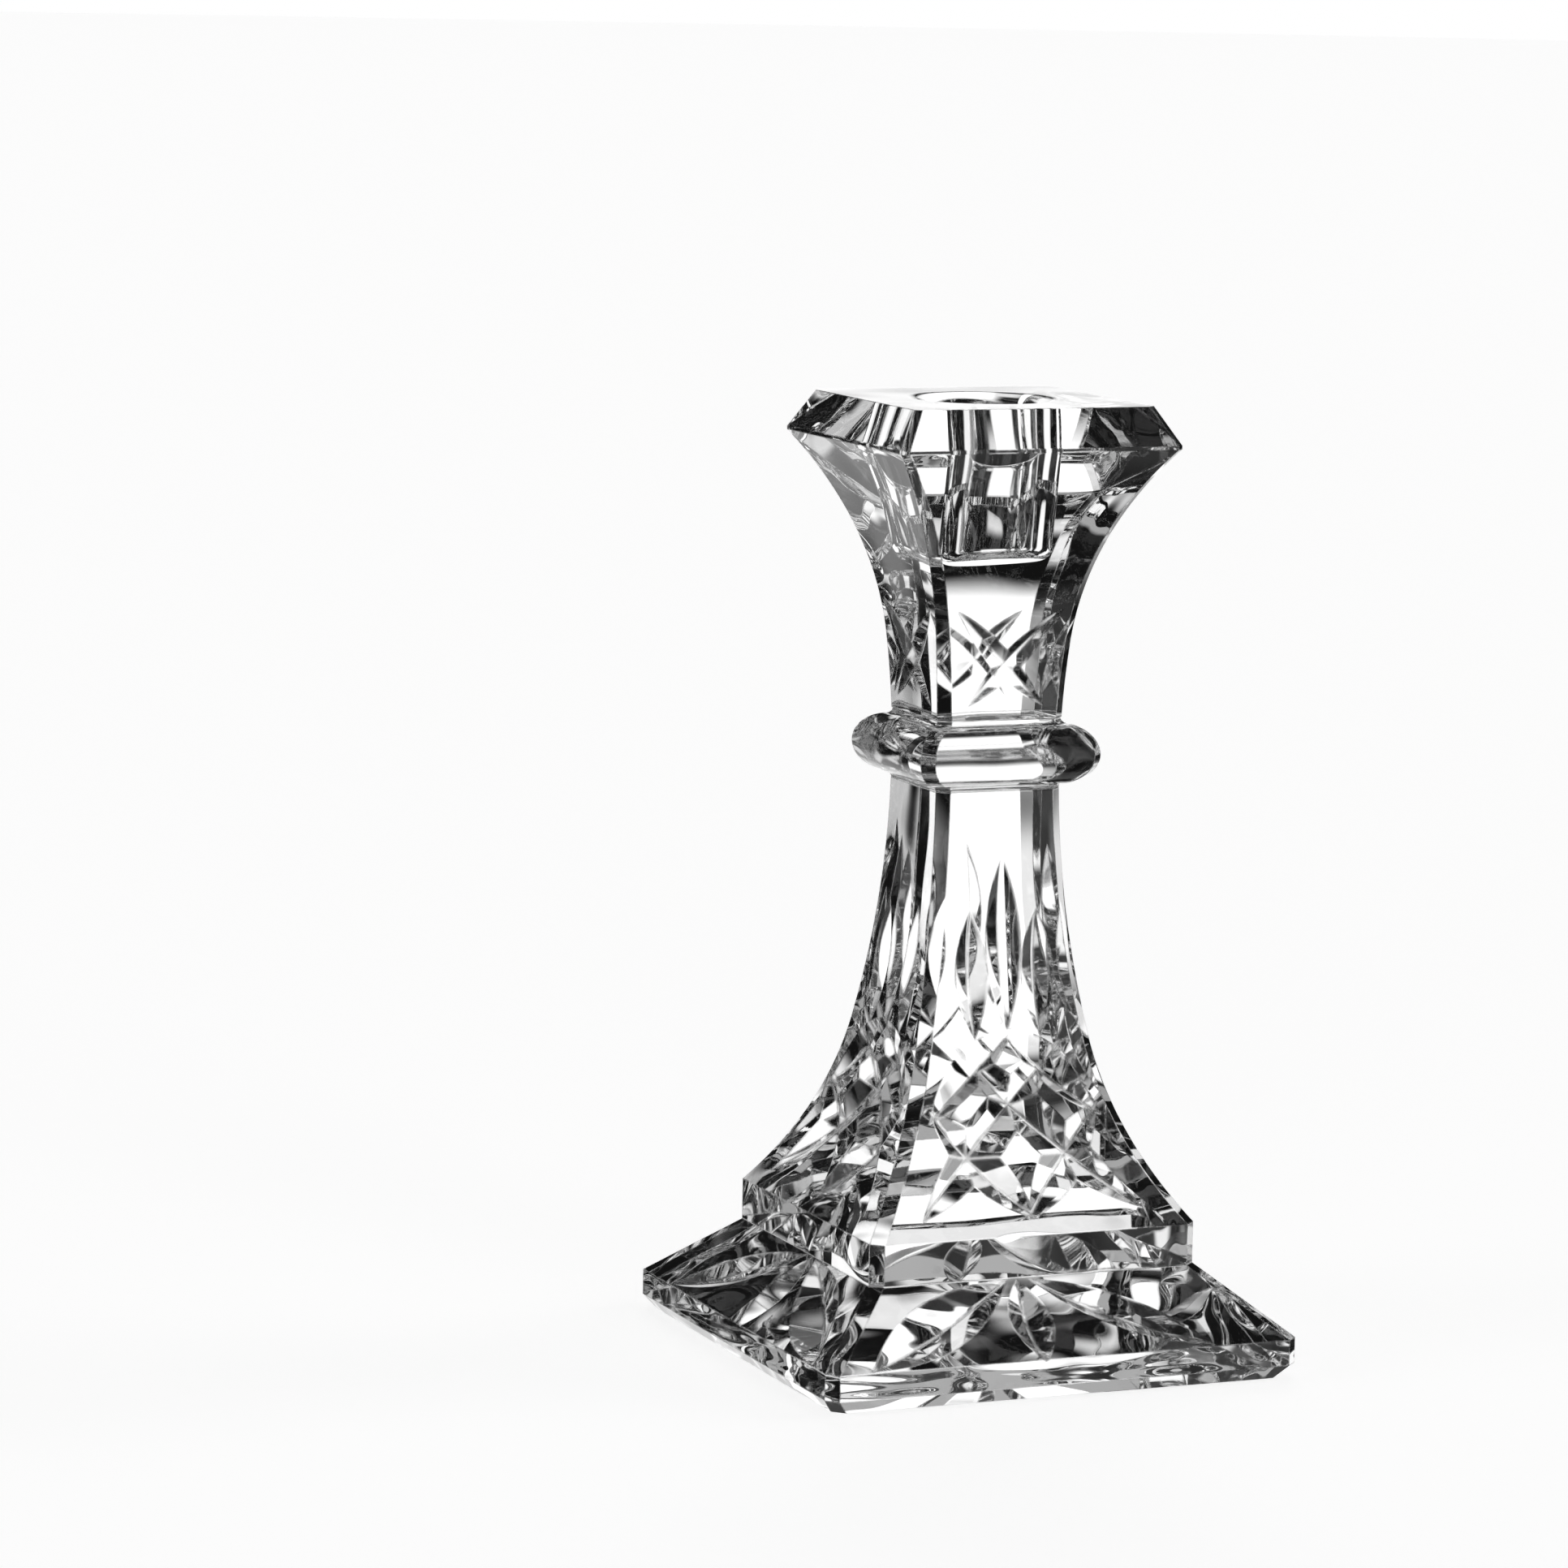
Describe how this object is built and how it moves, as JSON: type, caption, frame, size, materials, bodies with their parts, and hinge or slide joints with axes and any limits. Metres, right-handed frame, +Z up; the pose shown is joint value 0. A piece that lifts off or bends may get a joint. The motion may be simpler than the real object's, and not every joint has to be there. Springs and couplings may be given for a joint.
{
  "type": "candlestick",
  "caption": "Cut-crystal candlestick: bevelled square head with a round candle socket, beaded collar, flared square stem and cut square foot.",
  "frame": {"origin": "centre of the square underside, on the surface the candlestick stands on", "axes": "+Z up along the axis of the stick, X and Y square to the sides of the foot"},
  "size_m": [0.0974, 0.0974, 0.184],
  "materials": {
    "head_crystal": "clear lead crystal, polished, with wheel-cut stars",
    "collar_crystal": "clear lead crystal, polished",
    "stem_crystal": "clear lead crystal, polished, with wheel-cut lances and diamonds",
    "foot_crystal": "clear lead crystal, polished, with wheel-cut fans"
  },
  "bodies": {
    "root": {"head": "head_crystal", "collar": "collar_crystal", "stem": "stem_crystal", "foot": "foot_crystal"}
  },
  "joints": []
}
